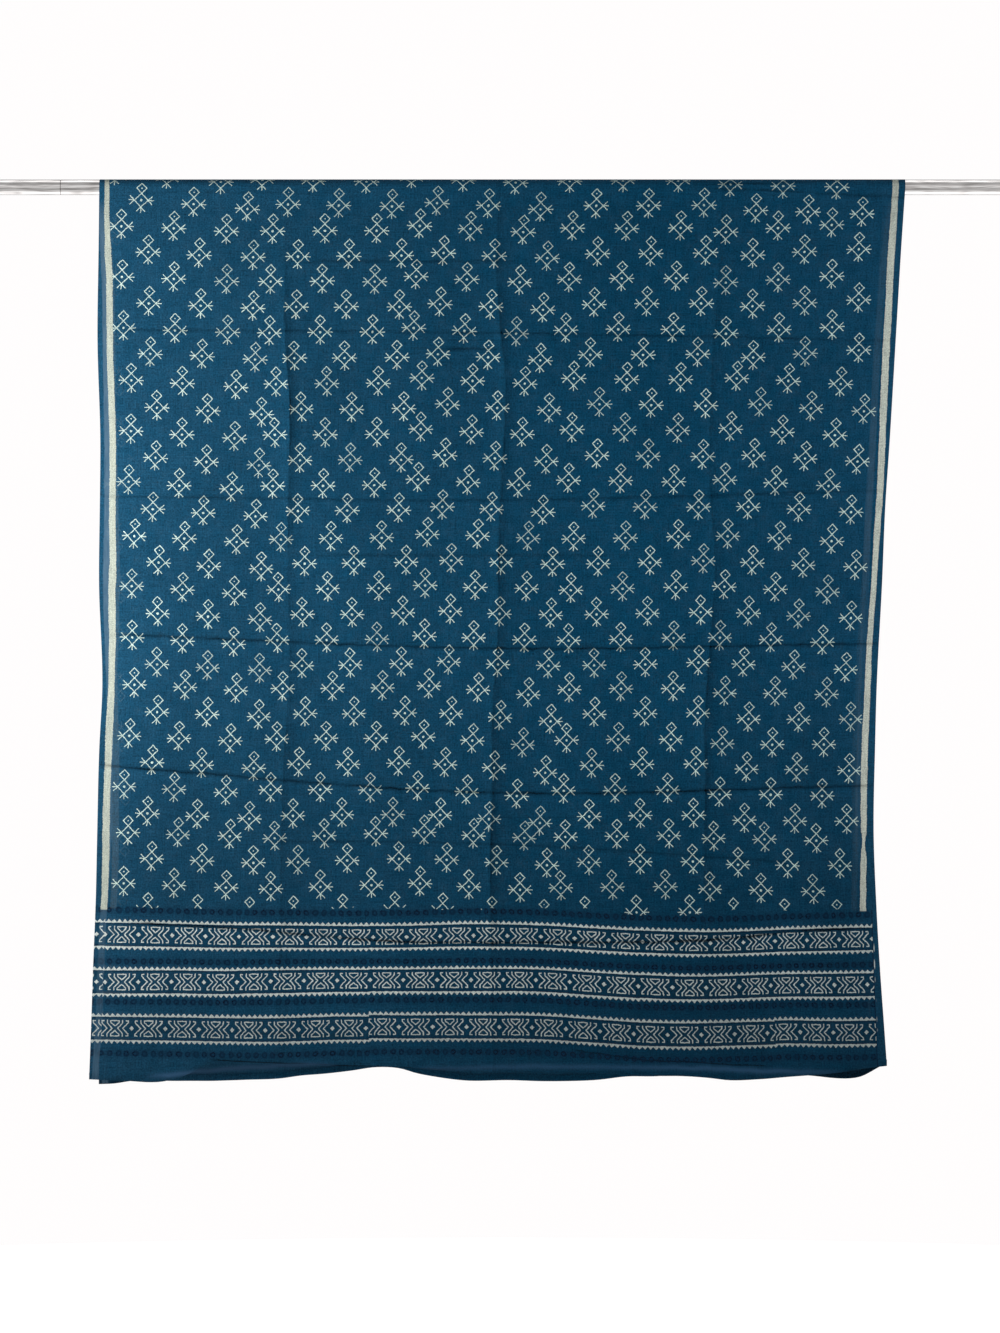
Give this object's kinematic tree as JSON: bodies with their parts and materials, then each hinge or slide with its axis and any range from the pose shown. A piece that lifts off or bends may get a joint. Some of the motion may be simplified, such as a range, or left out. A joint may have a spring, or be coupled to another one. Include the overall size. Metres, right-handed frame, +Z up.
{
  "type": "printed dupatta on a rod",
  "caption": "Long thin printed cotton scarf, folded in half over a plain chrome rod, with a small spaced motif, striped selvedges and banded ends.",
  "frame": {"origin": "on the rod's axis, at the middle of its length", "axes": "+X along the rod to the right as the printed front is seen, +Z up, front fall on the -Y side and back fall on the +Y side"},
  "size_m": [1.5, 0.0472, 1.1357],
  "materials": {
    "printed_cotton": "thin plain-weave cotton, teal indigo, with pale greenish block print and dark ring print",
    "rod_chrome": "polished chrome tube with fine lengthwise streaks"
  },
  "bodies": {
    "root": {"dupatta": "printed_cotton", "rod": "rod_chrome"}
  },
  "joints": []
}
